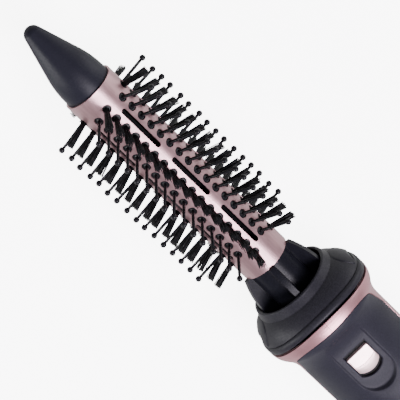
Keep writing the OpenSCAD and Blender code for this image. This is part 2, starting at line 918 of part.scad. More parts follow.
// Three equal screws, from the right half into the left half
module housing_screws() {
    color("silver") for (at = screw_at) {
        post(at, -at[2], 8, screw_r);
        difference() {
            post(at, -at[2] - 1.8, -at[2], screw_r + 1.1);
            translate([at[0] - 3, -at[2] - 2, at[1] - 0.3]) cube([6, 0.8, 0.6]);
        }
    }
}

// ---------- placing ----------

// From the brush axis to the resting plane
module placed() {
    translate([-middle_x, 0, crest_r]) children();
}

placed() cool_tip();
placed() tip_screw();
placed() barrel();
placed() air_core();
for (row = [0:rows - 1]) {
    placed() pin_strip(row);
    placed() tuft_strip(row);
}
placed() neck_cage();
placed() socket_sleeve();
placed() collar();
placed() collar_band();
placed() collar_tab(1);  // collar_tab_left
placed() collar_tab(-1);  // collar_tab_right
placed() housing_left();
placed() housing_right();
placed() front_grip();
placed() rear_grip();
placed() release_slider();
placed() slider_frame();
placed() slider_spring();
placed() latch_lever();
placed() latch_pin();
placed() spigot();
placed() outlet_grille();
placed() heater_tube();
placed() heater_frame();
placed() heater_coils();
placed() thermal_cutout();
placed() thermal_fuse();
placed() air_duct();
placed() impeller();
placed() motor_shaft();
placed() motor();
placed() motor_mount();
placed() circuit_board();
placed() mode_switch();
placed() switch_knob();
placed() rear_cap();
placed() dust_filter();
placed() cord_gland();
placed() hanging_loop();
placed() housing_screws();
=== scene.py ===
"""Looks of the hot air brush: bristles, pins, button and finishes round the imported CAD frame."""

import json
import math
import random

import bmesh
import bpy
from mathutils import Matrix, Vector


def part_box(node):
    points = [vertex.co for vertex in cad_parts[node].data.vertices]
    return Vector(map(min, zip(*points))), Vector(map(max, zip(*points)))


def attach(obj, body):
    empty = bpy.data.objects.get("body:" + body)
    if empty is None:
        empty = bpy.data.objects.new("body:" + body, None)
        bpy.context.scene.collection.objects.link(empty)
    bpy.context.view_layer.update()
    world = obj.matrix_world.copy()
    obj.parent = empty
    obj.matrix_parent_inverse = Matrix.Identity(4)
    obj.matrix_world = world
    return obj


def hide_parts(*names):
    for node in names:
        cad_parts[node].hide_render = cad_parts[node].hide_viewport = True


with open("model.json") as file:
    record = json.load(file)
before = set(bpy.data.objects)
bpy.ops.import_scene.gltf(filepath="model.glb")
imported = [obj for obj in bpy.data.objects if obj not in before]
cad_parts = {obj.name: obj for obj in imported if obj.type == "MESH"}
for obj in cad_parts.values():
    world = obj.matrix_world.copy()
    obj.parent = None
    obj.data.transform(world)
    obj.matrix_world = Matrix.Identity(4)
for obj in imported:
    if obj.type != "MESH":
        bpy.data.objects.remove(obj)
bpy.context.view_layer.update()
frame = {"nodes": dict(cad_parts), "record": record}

MM = 0.001
NODES = frame["nodes"]
random.seed(11)

# ---------- places and sizes, from the frame ----------

barrel_lo, barrel_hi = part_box("barrel")
TIP_X = barrel_lo.x
AXIS_Z = (barrel_lo.z + barrel_hi.z) / 2
BARREL_R = (barrel_hi.z - barrel_lo.z) / 2

ROWS = 5
SECTOR = math.radians(360 / ROWS)
PIN_TURN = math.radians(30.9)
TUFTS = 17
PINS = 16
PITCH = 5.976 * MM
FIRST_TUFT = 9.03 * MM
FIRST_PIN = 11.07 * MM
HOLE_R = 2.1 * MM
PIN_REACH = 28.3 * MM
TUFT_REACH = 24.7 * MM
# heights over the brush axis at which the pins and the tufts start, in mm
PIN_FOOT_MM = 11
TUFT_FOOT_MM = 11.2

MOUTH_X = barrel_hi.x + 18.4 * MM
CREST_X = barrel_hi.x + 35.9 * MM
CREST_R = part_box("housing_left")[1].y
BELL_ARC = 18.5 * MM
SADDLE_R = 73.5 * MM
SADDLE_X = CREST_X - 0.5 * MM - SADDLE_R
JOINT_GAP = 1.1 * MM
BAND_W = 4.7 * MM
BUTTON_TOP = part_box("release_slider")[1].z
WINDOW_X = CREST_X + 16.9 * MM


# ---------- mesh building ----------

class Builder:
    """Collects vertices and faces of one piece."""

    def __init__(self):
        self.verts = []
        self.faces = []
        self.marks = []

    def loft(self, rings, cap_start=True, cap_end=True, mark=0):
        """Joins closed rings of points, each with the same number of points."""
        start = len(self.verts)
        count = len(rings[0])
        for ring in rings:
            self.verts.extend(ring)
        for r in range(len(rings) - 1):
            for k in range(count):
                a = start + r * count + k
                b = start + r * count + (k + 1) % count
                self.faces.append((a, b, b + count, a + count))
                self.marks.append(mark)
        if cap_start:
            self.faces.append(tuple(start + k for k in reversed(range(count))))
            self.marks.append(mark)
        if cap_end:
            last = start + (len(rings) - 1) * count
            self.faces.append(tuple(last + k for k in range(count)))
            self.marks.append(mark)

    def object(self, name, materials):
        """Makes the mesh and its object, with all faces shaded smooth."""
        mesh = bpy.data.meshes.new(name)
        mesh.from_pydata([tuple(v) for v in self.verts], [], self.faces)
        for material in materials:
            mesh.materials.append(material)
        mesh.polygons.foreach_set("material_index", self.marks)
        mesh.polygons.foreach_set("use_smooth", [True] * len(mesh.polygons))
        mesh.update()
        piece = bpy.data.objects.new(name, mesh)
        bpy.context.scene.collection.objects.link(piece)
        return piece


def across(direction):
    """Two unit vectors square to a direction."""
    side = direction.cross(Vector((1, 0, 0)))
    if side.length < 0.1:
        side = direction.cross(Vector((0, 1, 0)))
    side.normalize()
    return side, direction.cross(side).normalized()


def ring_at(centre, u, v, radius, sides, turn=0.0):
    """Points of a circle, counted from u towards v."""
    points = []
    for k in range(sides):
        a = turn + 2 * math.pi * k / sides
        points.append(centre + u * (radius * math.cos(a)) + v * (radius * math.sin(a)))
    return points


def out_of_axis(turn):
    """Radial and tangential unit vectors at an angle round the brush axis."""
    radial = Vector((0, -math.sin(turn), math.cos(turn)))
    tangent = Vector((0, math.cos(turn), math.sin(turn)))
    return radial, tangent


def bell_radius(x):
    """Radius of the collar's bell at a place along the axis."""
    return CREST_R - BELL_ARC + math.sqrt(BELL_ARC ** 2 - min(CREST_X - x, BELL_ARC) ** 2)


def saddle_at(turn, middle_x, size):
    """Where the bell meets a cylinder that lies across the axis, at an angle round the axis."""
    x = CREST_X - 4 * MM
    for _ in range(30):
        height = bell_radius(x) * math.cos(turn)
        x = middle_x + math.sqrt(size ** 2 - height ** 2)
    return x


# ---------- materials ----------

# A noise seldom leaves this range, so it is what gets stretched over a blend
NOISE_LOW = 0.3
NOISE_HIGH = 0.7


def new_material(name):
    """A node material, its node tree and its Principled shader."""
    material = bpy.data.materials.new(name)
    material.use_nodes = True
    tree = material.node_tree
    return material, tree, tree.nodes["Principled BSDF"]


def noise(tree, scale, detail=2.0, stretch=(1, 1, 1)):
    """A noise texture in the object's own space, with features of about 1 / scale metres."""
    place = tree.nodes.new("ShaderNodeTexCoord")
    mapping = tree.nodes.new("ShaderNodeMapping")
    mapping.inputs["Scale"].default_value = stretch
    texture = tree.nodes.new("ShaderNodeTexNoise")
    texture.inputs["Scale"].default_value = scale
    texture.inputs["Detail"].default_value = detail
    tree.links.new(place.outputs["Object"], mapping.inputs["Vector"])
    tree.links.new(mapping.outputs["Vector"], texture.inputs["Vector"])
    return texture.outputs["Fac"]


def spread(tree, factor, low, high):
    """Maps the middle part of a noise to a range of numbers."""
    node = tree.nodes.new("ShaderNodeMapRange")
    node.inputs["From Min"].default_value = NOISE_LOW
    node.inputs["From Max"].default_value = NOISE_HIGH
    node.inputs["To Min"].default_value = low
    node.inputs["To Max"].default_value = high
    tree.links.new(factor, node.inputs["Value"])
    return node.outputs["Result"]


def blend_colours(tree, factor, first, second, start=NOISE_LOW, end=NOISE_HIGH):
    """A colour ramp between two colours."""
    ramp = tree.nodes.new("ShaderNodeValToRGB")
    ramp.color_ramp.elements[0].position = start
    ramp.color_ramp.elements[0].color = (*first, 1)
    ramp.color_ramp.elements[1].position = end
    ramp.color_ramp.elements[1].color = (*second, 1)
    tree.links.new(factor, ramp.inputs["Fac"])
    return ramp.outputs["Color"]


def bumps(tree, shader, height, depth):
    """Feeds a height into the shader's normal."""
    bump = tree.nodes.new("ShaderNodeBump")
    bump.inputs["Distance"].default_value = depth
    bump.inputs["Strength"].default_value = 1.0
    tree.links.new(height, bump.inputs["Height"])
    tree.links.new(bump.outputs["Normal"], shader.inputs["Normal"])


def plastic(name, first, second, rough, grain, depth, coat=0.0, specular=0.2):
    """Moulded plastic: two close shades, fine grain, and roughness that wanders a little."""
    material, tree, shader = new_material(name)
    colour = blend_colours(tree, noise(tree, grain * 0.6, 3.0), first, second)
    tree.links.new(colour, shader.inputs["Base Color"])
    wander = spread(tree, noise(tree, 90, 3.0), rough - 0.04, rough + 0.05)
    tree.links.new(wander, shader.inputs["Roughness"])
    bumps(tree, shader, noise(tree, grain, 2.0), depth)
    shader.inputs["Specular IOR Level"].default_value = specular
    shader.inputs["Coat Weight"].default_value = coat
    shader.inputs["Coat Roughness"].default_value = 0.15
    return material


def metal(name, first, second, rough, grain, stretch, depth, metallic=1.0):
    """Metal or metallic paint, with a grain that may run one way."""
    material, tree, shader = new_material(name)
    lines = noise(tree, grain, 4.0, stretch)
    tree.links.new(blend_colours(tree, lines, first, second), shader.inputs["Base Color"])
    wander = spread(tree, noise(tree, 120, 3.0), rough - 0.05, rough + 0.05)
    tree.links.new(wander, shader.inputs["Roughness"])
    bumps(tree, shader, lines, depth)
    shader.inputs["Metallic"].default_value = metallic
    return material


def coil_wire():
    """Nickel-chrome wire with heat colours along its length."""
    material, tree, shader = new_material("heating_wire")
    heat = noise(tree, 160, 2.0)
    tree.links.new(blend_colours(tree, heat, (0.20, 0.17, 0.15), (0.42, 0.36, 0.30)),
                   shader.inputs["Base Color"])
    tree.links.new(spread(tree, heat, 0.32, 0.5), shader.inputs["Roughness"])
    shader.inputs["Metallic"].default_value = 1.0
    return material


def mica_sheet():
    """Layered mica: pale brown flakes with a pearly coat."""
    material, tree, shader = new_material("mica")
    flakes = tree.nodes.new("ShaderNodeTexVoronoi")
    flakes.inputs["Scale"].default_value = 260
    place = tree.nodes.new("ShaderNodeTexCoord")
    tree.links.new(place.outputs["Object"], flakes.inputs["Vector"])
    tree.links.new(blend_colours(tree, flakes.outputs["Distance"], (0.50, 0.42, 0.30),
                                 (0.66, 0.58, 0.44), 0.1, 0.6), shader.inputs["Base Color"])
    tree.links.new(spread(tree, flakes.outputs["Distance"], 0.3, 0.5), shader.inputs["Roughness"])
    shader.inputs["Coat Weight"].default_value = 0.4
    return material


MATERIALS = {
    "tip_black": plastic("tip_black", (0.011, 0.011, 0.018), (0.016, 0.016, 0.025), 0.40, 4000, 2e-5,
                         specular=0.15),
    "collar_black": plastic("collar_black", (0.012, 0.0115, 0.016), (0.024, 0.023, 0.030), 0.42,
                            3000, 4e-5, specular=0.15),
    "neck_black": plastic("neck_black", (0.005, 0.005, 0.008), (0.009, 0.009, 0.014), 0.3, 2500, 3e-6,
                          specular=0.14),
    "grip_black": plastic("grip_black", (0.017, 0.0165, 0.024), (0.026, 0.025, 0.036), 0.46, 3500, 5e-5,
                          specular=0.15),
    "inner_black": plastic("inner_black", (0.010, 0.010, 0.011), (0.016, 0.016, 0.018), 0.55, 1800,
                           3e-5),
    "inner_grey": plastic("inner_grey", (0.05, 0.05, 0.055), (0.07, 0.07, 0.075), 0.5, 1500, 3e-5),
    "rubber_black": plastic("rubber_black", (0.012, 0.012, 0.012), (0.02, 0.02, 0.02), 0.65, 1500,
                            4e-5),
    "pin_nylon": plastic("pin_nylon", (0.006, 0.006, 0.008), (0.012, 0.012, 0.015), 0.25, 3000, 1e-5),
    "tuft_nylon": plastic("tuft_nylon", (0.005, 0.005, 0.006), (0.016, 0.016, 0.018), 0.33, 2500,
                          1e-5),
    "fan_white": plastic("fan_white", (0.70, 0.70, 0.67), (0.78, 0.78, 0.75), 0.42, 1200, 2e-5),
    "board_green": plastic("board_green", (0.03, 0.15, 0.06), (0.05, 0.22, 0.09), 0.35, 900, 3e-5,
                           coat=0.4),
    "fuse_ceramic": plastic("fuse_ceramic", (0.70, 0.66, 0.56), (0.80, 0.76, 0.66), 0.25, 900, 1e-5,
                            coat=0.6),
    "rose_aluminium": metal("rose_aluminium", (0.48, 0.29, 0.31), (0.56, 0.35, 0.37), 0.35, 900,
                            (0.15, 1, 1), 6e-6, 0.85),
    "rose_paint": metal("rose_paint", (0.50, 0.25, 0.28), (0.62, 0.33, 0.36), 0.36, 2600, (1, 1, 1),
                        8e-6, 0.85),
    "rose_gloss": metal("rose_gloss", (0.97, 0.70, 0.70), (0.98, 0.75, 0.75), 0.3, 700, (1, 1, 1),
                        1e-6, 0.7),
    "steel": metal("steel", (0.50, 0.50, 0.52), (0.66, 0.66, 0.68), 0.3, 1500, (0.1, 1, 1), 8e-6),
    "motor_steel": metal("motor_steel", (0.42, 0.42, 0.44), (0.56, 0.56, 0.58), 0.34, 1200,
                         (0.1, 1, 1), 8e-6),
    "filter_steel": metal("filter_steel", (0.40, 0.40, 0.42), (0.52, 0.52, 0.54), 0.4, 1800,
                          (1, 1, 1), 1e-5),
    "heating_wire": coil_wire(),
    "mica": mica_sheet(),
}


# ---------- CAD nodes that stay ----------

def dress_cad():
    """Gives every CAD node its material and shades its curved faces smooth."""
    slots = {part["node"]: part["material_slot"] for part in frame["record"]["subparts"]}
    for name, node in NODES.items():
        node.data.materials.clear()
        node.data.materials.append(MATERIALS[slots[name]])
        for face in node.data.polygons:
            face.material_index = 0
            face.use_smooth = True
        node.data.set_sharp_from_angle(angle=math.radians(28))


# ---------- bristles ----------

def inner_strip(build, radial, tangent):
    """The strip inside the barrel that carries a row: a bar that follows the bore."""
    half_w = 2.4 * MM
    low_r = 10.05 * MM
    high_r = BARREL_R - 0.92 * MM
    ends = (TIP_X + 7.2 * MM, TIP_X + 107.8 * MM)
    rings = []
    for x in ends:
        origin = Vector((x, 0, AXIS_Z))
        ring = []
        for r, signs in ((low_r, (-1, 0, 1)), (high_r, (1, 0, -1))):
            for sign in signs:
                rise = math.sqrt(r * r - (sign * half_w) ** 2)
                ring.append(origin + radial * rise + tangent * (sign * half_w))
        rings.append(ring)
    build.loft(rings)


def plug(build, base, radial, u, v, dome):
    """The rubber plug that fills a hole: a shallow dome with a ring-shaped dip near its edge."""
    inside = BARREL_R - 0.5 * MM
    sides = 16
    profile = [
        (HOLE_R * 0.97, 10.6 * MM), (HOLE_R * 0.97, inside - 0.3 * MM), (HOLE_R * 0.90, inside),
        (HOLE_R * 0.74, inside + 0.02 * MM), (HOLE_R * 0.62, inside - 0.12 * MM),
        (HOLE_R * 0.46, inside + dome * 0.8), (HOLE_R * 0.2, inside + dome),
    ]
    build.loft([ring_at(base + radial * rise, u, v, r, sides) for r, rise in profile])


def pin_row(row):
    """Sixteen ball-ended pins, each on its plug."""
    build = Builder()
    radial, tangent = out_of_axis(SECTOR * row + PIN_TURN)
    inner_strip(build, radial, tangent)
    along = Vector((1, 0, 0))
    sides = 12
    ball = 1.42 * MM
    ball_steps = 8
    # radius of the rod in mm, and share of its length
    profile = [(0.84, 0.0), (0.78, 0.12), (0.74, 0.5), (0.68, 0.92)]
    for i in range(PINS):
        base = Vector((TIP_X + FIRST_PIN + i * PITCH, 0, AXIS_Z))
        plug(build, base, radial, along, tangent, 0.22 * MM)
        side_lean = math.radians(9.7 + random.uniform(-1.6, 1.6))
        back_lean = math.radians(6.5 + random.uniform(-2.0, 2.2))
        reach = PIN_REACH - PIN_FOOT_MM * MM - random.uniform(0, 0.5) * MM
        direction = radial + tangent * math.tan(side_lean) + along * math.tan(back_lean)
        direction.normalize()
        u, v = across(direction)
        foot = base + radial * PIN_FOOT_MM * MM
        rings = [ring_at(foot + direction * (reach * t), u, v, r * MM, sides) for r, t in profile]
        for step in range(1, ball_steps):
            a = math.pi * (step / ball_steps)
            level = reach - ball * math.cos(a)
            rings.append(ring_at(foot + direction * level, u, v, ball * math.sin(a), sides))
        build.loft(rings)
    piece = build.object(f"pins_{row + 1}", [MATERIALS["pin_nylon"]])
    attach(piece, "brush_head")
    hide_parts(f"pin_strip_{row + 1}")


def filament(build, foot, tip, radius, bow):
    """One nylon filament: a thin rod with a slight bow and a cut end."""
    direction = (tip - foot).normalized()
    u, v = across(direction)
    sides = 5
    first_angle = 0.4
    rings = []
    for t in (0.0, 0.35, 0.7, 1.0):
        centre = foot.lerp(tip, t) + bow * (4 * t * (1 - t))
        rings.append(ring_at(centre, u, v, radius, sides, first_angle))
    build.loft(rings)


def tuft_row(row):
    """Seventeen fans of nylon filaments, each in its plug."""
    build = Builder()
    radial, tangent = out_of_axis(SECTOR * row)
    inner_strip(build, radial, tangent)
    along = Vector((1, 0, 0))
    root_spread = 1.05 * MM
    end_spread = 1.8 * MM
    strands = 38
    strand_r = 0.175 * MM
    bow_mm = 0.08
    golden = math.radians(137.5)
    # the front row leans to one side, in degrees: all of it a little, and its first tufts most
    sweep_all, sweep_first, sweep_fade = 2, 14, 4.5
    for i in range(TUFTS):
        base = Vector((TIP_X + FIRST_TUFT + i * PITCH, 0, AXIS_Z))
        plug(build, base, radial, along, tangent, 0.12 * MM)
        back_lean = math.tan(math.radians(8.3 + random.uniform(-2.5, 2.5)))
        swept = -sweep_all - sweep_first * math.exp(-i / sweep_fade) if row == 0 else 0
        side_lean = math.tan(math.radians(swept + random.uniform(-2.5, 2.5)))
        lean = radial + along * back_lean + tangent * side_lean
        for k in range(strands):
            r = math.sqrt((k + 0.5) / strands)
            a = golden * k + random.uniform(-0.3, 0.3)
            disc = along * math.cos(a) + tangent * math.sin(a)
            foot = base + radial * TUFT_FOOT_MM * MM + disc * (root_spread * r)
            stray = random.uniform(0.9, 1.1) + (0.4 if random.random() < 0.03 else 0)
            length = TUFT_REACH - TUFT_FOOT_MM * MM - random.uniform(0.0, 0.45) * MM
            tip = base + radial * TUFT_FOOT_MM * MM + lean * length + disc * (end_spread * r * stray)
            bow = (along * random.uniform(-1, 1) + tangent * random.uniform(-1, 1)) * bow_mm * MM
            filament(build, foot, tip, strand_r, bow)
    piece = build.object(f"tufts_{row + 1}", [MATERIALS["tuft_nylon"]])
    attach(piece, "brush_head")
    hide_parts(f"tuft_strip_{row + 1}")


# ---------- collar ----------

def collar_band():
    """The rounded band behind the collar's crease, which follows the saddle of the joint."""
    build = Builder()
    # place across the band from the crease to the joint, and height over the bell, in mm
    section = [
        (0.00, -0.90), (0.04, -0.85), (0.07, -0.35), (0.13, 0.10), (0.22, 0.36), (0.38, 0.48),
        (0.60, 0.42), (0.80, 0.26), (0.92, 0.05), (0.98, -0.16), (1.00, -0.45), (1.00, -2.60),
        (0.50, -2.60), (0.00, -2.60),
    ]
    steps = 240
    rings = []
    for k in range(steps):
        turn = 2 * math.pi * k / steps
        radial, _ = out_of_axis(turn)
        front = saddle_at(turn, SADDLE_X - BAND_W + 0.05 * MM, SADDLE_R)
        rear = saddle_at(turn, SADDLE_X, SADDLE_R - JOINT_GAP / 2)
        ring = []
        for place, height in section:
            x = front + (rear - front) * place
            r = min(bell_radius(x) + height * MM, CREST_R - 0.02 * MM)
            ring.append(Vector((x, 0, AXIS_Z)) + radial * r)
        rings.append(ring)
    rings.append(rings[0])
    build.loft(rings, cap_start=False, cap_end=False)
    piece = build.object("band", [MATERIALS["collar_black"]])
    weld(piece)
    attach(piece, "brush_head")
    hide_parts("collar_band")


def weld(piece):
    """Joins points that lie on each other and turns all faces outwards."""
    mesh = bmesh.new()
    mesh.from_mesh(piece.data)
    bmesh.ops.remove_doubles(mesh, verts=mesh.verts, dist=1e-6)
    bmesh.ops.recalc_face_normals(mesh, faces=mesh.faces)
    mesh.to_mesh(piece.data)
    mesh.free()


def tab_outline(front, rear, half_w):
    """Plan of a finger tab as (along, across): a blunt round front and a square rear."""
    points = []
    run = 6.2 * MM
    corner = 0.6 * MM
    steps = 12
    for k in range(steps + 1):
        a = math.pi / 2 * k / steps
        points.append((front + run * (1 - math.cos(a) ** 0.8), half_w * math.sin(a) ** 0.8))
    for k in range(6):
        a = math.pi / 2 * k / 5
        points.append((rear - corner * (1 - math.sin(a)), half_w - corner * (1 - math.cos(a))))
    return points + [(x, -y) for x, y in reversed(points[1:])]


def finger_tab(side, name):
    """A finger tab that stands proud of the funnel, with soft edges."""
    build = Builder()
    front = MOUTH_X + 2.0 * MM
    rear = CREST_X - 6.6 * MM
    outline = tab_outline(front, rear, 8.85 * MM)
    middle = (front + rear) / 2
    # share of the outline's size, and height over the bell in mm
    section = [(1.0, -0.7), (1.0, 0.10), (0.985, 0.32), (0.955, 0.48), (0.90, 0.58), (0.6, 0.66),
               (0.25, 0.68)]
    rings = []
    for share, height in section:
        ring = []
        for x, z in outline:
            x = middle + (x - middle) * share
            turn = math.asin(z * share / bell_radius(x))
            r = bell_radius(x) + height * MM
            ring.append(Vector((x, side * r * math.cos(turn), AXIS_Z + r * math.sin(turn))))
        rings.append(ring)
    build.loft(rings)
    piece = build.object(f"tab_{name}", [MATERIALS["collar_black"]])
    weld(piece)
    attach(piece, "brush_head")
    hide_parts(f"collar_tab_{name}")


# ---------- grip panels ----------

HANDLE_R = 24.4 * MM
WAIST_R = 20.8 * MM
REAR_R = 22 * MM
FLOOR_R = HANDLE_R - 2.7 * MM
CREST_ARC = 8 * MM
FLARE_ARC = 19.1 * MM
FLARE_SHARE = CREST_ARC / (CREST_ARC + FLARE_ARC)
FLARE_RUN = math.sqrt((CREST_ARC + FLARE_ARC) ** 2
                      - (CREST_ARC + FLARE_ARC - CREST_R + HANDLE_R) ** 2)
CAP_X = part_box("rear_cap")[0].x
GRIP_EDGE = 5.4 * MM
CORNER_X = 21 * MM
CORNER_Z = 26 * MM
CORNER_POWER = 1.7
RECESS_R = 9.35 * MM
RECESS_MID = CREST_X + 32 * MM
WALL = 0.6 * MM
RECESS_SOFTNESS = 0.25 * MM
WINDOW_LEN = 16.4 * MM
WINDOW_HALF = 6.4 * MM
WINDOW_ROUND = 8.2 * MM
GRIP_THICK = 1.4 * MM
# corner parameter at which a panel's front edge ends and its side edge starts
KNEE = 0.75
# steps along a panel's long side, and across it from the edge of the recess or from the middle
SIDE_STEPS = 60
OUTER_STEPS = 16
BACK_STEPS = 20
SLOT_HALF_LEN = 7 * MM
SLOT_HALF_W = 3.2 * MM
SLOT_CORNER = 0.8 * MM


def s_step(x, xa, ra, xb, rb, share):
    """Height on two tangent arcs that lead from ra at xa down to rb at xb."""
    total = ((xb - xa) ** 2 + (ra - rb) ** 2) / (2 * (ra - rb))
    size = share * total
    rest = total - size
    if x - xa <= size * (xb - xa) / total:
        return ra - size + math.sqrt(size ** 2 - (x - xa) ** 2)
    return rb + rest - math.sqrt(rest ** 2 - (xb - x) ** 2)


def handle_radius(x):
    """Outer radius of the handle."""
    waist_from = CREST_X + 54 * MM
    waist_to = CREST_X + 92 * MM
    rear_from = CREST_X + 128 * MM
    if x <= CREST_X:
        return bell_radius(x)
    if x <= CREST_X + FLARE_RUN:
        return s_step(x, CREST_X, CREST_R, CREST_X + FLARE_RUN, HANDLE_R, FLARE_SHARE)
    if x <= waist_from:
        return HANDLE_R
    if x <= waist_to:
        return s_step(x, waist_from, HANDLE_R, waist_to, WAIST_R, 0.5)
    if x <= rear_from:
        return WAIST_R
    if x <= CAP_X:
        return s_step(rear_from + CAP_X - x, rear_from, REAR_R, CAP_X, WAIST_R, 0.5)
    return REAR_R


def recess_floor(x):
    """Height of the thumb recess's floor over the axis."""
    if x <= CREST_X:
        return CREST_R
    if x <= CREST_X + FLARE_RUN:
        return s_step(x, CREST_X, CREST_R, CREST_X + FLARE_RUN, FLOOR_R, FLARE_SHARE)
    return FLOOR_R


def recess_share(x, y):
    """How far a place in plan is inside the recess: 0 outside, 1 on the floor."""
    if x <= RECESS_MID:
        depth = RECESS_R - abs(y)
    else:
        depth = RECESS_R - math.hypot(x - RECESS_MID, y)
    t = min(max((depth + WALL) / (2 * WALL), 0), 1)
    return t * t * (3 - 2 * t)


def grip_point(x, turn, drop, recess):
    """A point of a panel's surface at a place and an angle, sunk by drop."""
    r = handle_radius(x) - drop
    y = r * math.sin(turn)
    z = r * math.cos(turn)
    if recess:
        cut = max(handle_radius(x) * math.cos(turn) - recess_floor(x), 0)
        z -= recess_share(x, y) * cut * cut / (cut + RECESS_SOFTNESS)
    return Vector((x, y, z))


def corner_place(a, inset, end):
    """Place and angle on a panel's edge near its front (end 1) or rear (end -1) corner."""
    base = CREST_X - 0.5 * MM if end > 0 else CAP_X - 3 * MM
    x = base + end * (CORNER_X * (1 - math.sin(a) ** (2 / CORNER_POWER)) + inset)
    z = GRIP_EDGE + CORNER_Z * (1 - math.cos(a) ** (2 / CORNER_POWER)) + inset
    return x, math.acos(min(z / handle_radius(x), 1))


def corner_angle(y, inset, end):
    """The corner parameter at which a panel's edge is y away from the middle plane."""
    low, high = 0.3, math.pi / 2
    for _ in range(40):
        middle = (low + high) / 2
        x, turn = corner_place(middle, inset, end)
        if handle_radius(x) * math.sin(turn) > y:
            low = middle
        else:
            high = middle
    return low


def coons(inner, outer, start, finish):
    """Rows of (place, angle) between four edges: inner and outer, joined by start and finish."""
    rows = []
    for i in range(len(start)):
        s = i / (len(start) - 1)
        row = []
        for j in range(len(inner)):
            t = j / (len(inner) - 1)
            value = []
            for c in (0, 1):
                corners = ((1 - s) * (1 - t) * inner[0][c] + (1 - s) * t * inner[-1][c]
                           + s * (1 - t) * outer[0][c] + s * t * outer[-1][c])
                value.append((1 - s) * inner[j][c] + s * outer[j][c]
                             + (1 - t) * start[i][c] + t * finish[i][c] - corners)
            row.append(tuple(value))
        rows.append(row)
    return rows


def between(a, b, count):
    """Evenly spaced numbers from a to b."""
    return [a + (b - a) * k / count for k in range(count + 1)]


def by_plan(x, y):
    """Place and angle of a point of the panel from its plan."""
    return x, math.asin(min(y / handle_radius(x), 1))


def side_edge(inset):
    """Place and angle along a panel's edge: front corner from the knee, long side, rear corner."""
    front = [corner_place(a, inset, 1) for a in between(KNEE, 0, 14)]
    rear = [corner_place(a, inset, -1) for a in between(0, corner_angle(0, inset, -1), 20)]
    low = front[-1][0]
    high = rear[0][0]
    side = []
    for x in between(low, high, SIDE_STEPS)[1:-1]:
        side.append((x, math.acos((GRIP_EDGE + inset) / handle_radius(x))))
    return front + side + rear


def u_curve(grow, count, start_x):
    """Half of a U round the thumb recess, as plan points, from the front to its round end."""
    size = RECESS_R + grow
    straight = count * 2 // 3
    points = [(x, size) for x in between(start_x, RECESS_MID, straight)]
    for a in between(0, math.pi / 2, count - straight)[1:]:
        points.append((RECESS_MID + size * math.sin(a), size * math.cos(a)))
    return points


def window_curve(grow, count, start_x):
    """Half of the window's edge and its run to the panel's front, as plan points."""
    half = WINDOW_HALF + grow
    size = WINDOW_ROUND + grow
    mid = WINDOW_X + WINDOW_LEN - WINDOW_ROUND
    corner = WINDOW_X - grow
    bend = math.asin(half / size)
    before = count // 3
    side = count // 3
    points = [(x, half) for x in between(start_x, corner, before)]
    points += [(x, half) for x in between(corner, mid + size * math.cos(bend), side)[1:]]
    for a in between(bend, 0, count - before - side)[1:]:
        points.append((mid + size * math.cos(a), size * math.sin(a)))
    return points, before


def front_panel(inset, grow, drop):
    """Half of the front panel as rows of points, with its rim and the window's rim."""
    patches = []

    def edge_at(y):
        return corner_place(corner_angle(y, inset, 1), inset, 1)

    def solid(rows):
        return [[grip_point(x, turn, drop, True) for x, turn in row] for row in rows]

    wall_rows = 8
    outer_u_y = RECESS_R + WALL
    outer = side_edge(inset)
    count = len(outer) - 1
    outside = [by_plan(*p) for p in u_curve(WALL, count, edge_at(outer_u_y)[0])]
    first = corner_angle(outer_u_y, inset, 1)
    front = [corner_place(a, inset, 1) for a in between(first, KNEE, OUTER_STEPS)]
    finish = [(x, 0.0) for x in between(outside[-1][0], outer[-1][0], OUTER_STEPS)]
    patches.append(solid(coons(outside, outer, front, finish)))

    wall = []
    for grow_u in between(WALL, -WALL, wall_rows):
        wall.append([by_plan(*p) for p in u_curve(grow_u, count, edge_at(RECESS_R + grow_u)[0])])
    patches.append(solid(reversed(wall)))

    inner_y = WINDOW_HALF + grow
    window, corner = window_curve(grow, count, edge_at(inner_y)[0])
    window = [by_plan(*p) for p in window]
    inside = wall[-1]
    steps = 5
    front_in = [edge_at(y) for y in between(inner_y, RECESS_R - WALL, steps)]
    finish_in = [(x, 0.0) for x in between(window[-1][0], inside[-1][0], steps)]
    patches.append(solid(coons(window, inside, front_in, finish_in)))

    apron = []
    apron_steps = 6
    for y in between(0, inner_y, apron_steps):
        start = edge_at(max(y, 1e-5))[0]
        apron.append([by_plan(x, y) for x in between(start, WINDOW_X - grow, corner)])
    patches.append(solid(apron))

    rim = [patches[3][i][0] for i in range(apron_steps + 1)]
    rim += [patches[2][i][0] for i in range(1, steps + 1)]
    rim += [patches[1][i][0] for i in range(1, wall_rows + 1)]
    rim += [patches[0][i][0] for i in range(1, OUTER_STEPS + 1)] + patches[0][OUTER_STEPS][1:]
    hole = [patches[3][i][-1] for i in range(apron_steps + 1)] + patches[2][0][corner + 1:]
    return patches, rim, hole


def back_panel(inset, grow, drop):
    """Half of a panel without a recess, as rows of points, with its rim."""
    outer = side_edge(inset)
    first = corner_angle(1e-5, inset, 1)
    front = [corner_place(a, inset, 1) for a in between(first, KNEE, BACK_STEPS)]
    middle = [(x, 0.0) for x in between(front[0][0], outer[-1][0], len(outer) - 1)]
    finish = [(outer[-1][0], 0.0)] * (BACK_STEPS + 1)
    rows = coons(middle, outer, front, finish)
    rows = [[grip_point(x, turn, drop, False) for x, turn in row] for row in rows]
    rim = [rows[i][0] for i in range(BACK_STEPS + 1)] + rows[-1][1:]
    return [rows], rim, []


